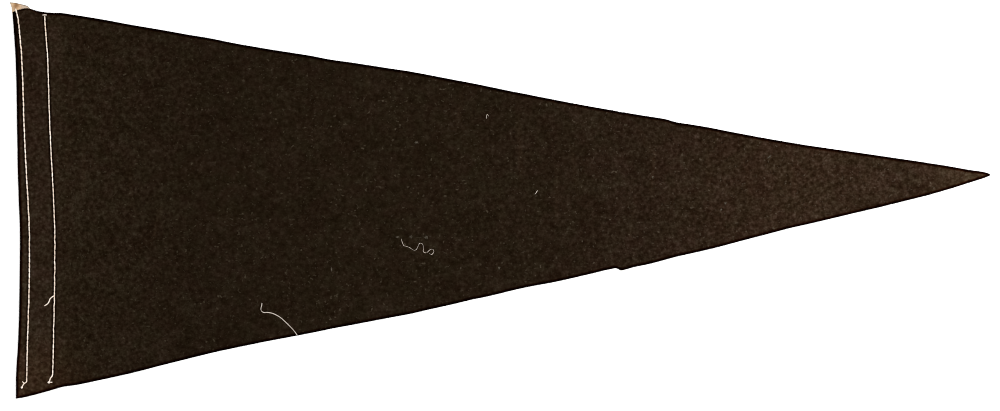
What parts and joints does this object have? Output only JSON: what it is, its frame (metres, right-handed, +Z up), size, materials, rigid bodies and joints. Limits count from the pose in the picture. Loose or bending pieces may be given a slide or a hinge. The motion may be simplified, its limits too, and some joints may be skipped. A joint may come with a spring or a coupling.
{
  "type": "felt pennant flag",
  "caption": "Long triangular pennant flag of dark brown-black wool felt with a cream felt heading strip sewn under its hoist end, lying flat with its back up.",
  "frame": {"origin": "under the middle of the flag's bounding box, on the surface that it lies on", "axes": "+X from the hoist to the tip, +Y from the lower long edge to the upper one as it lies, +Z up out of its back"},
  "size_m": [0.762, 0.3076, 0.0033],
  "materials": {
    "dark_felt": "matte wool felt with lighter heather fibres",
    "cream_felt": "matte wool felt, aged and a little stained",
    "cream_thread": "thick soft cotton sewing thread"
  },
  "bodies": {
    "root": {"felt_body": "dark_felt", "heading_strip": "cream_felt"}
  },
  "joints": []
}
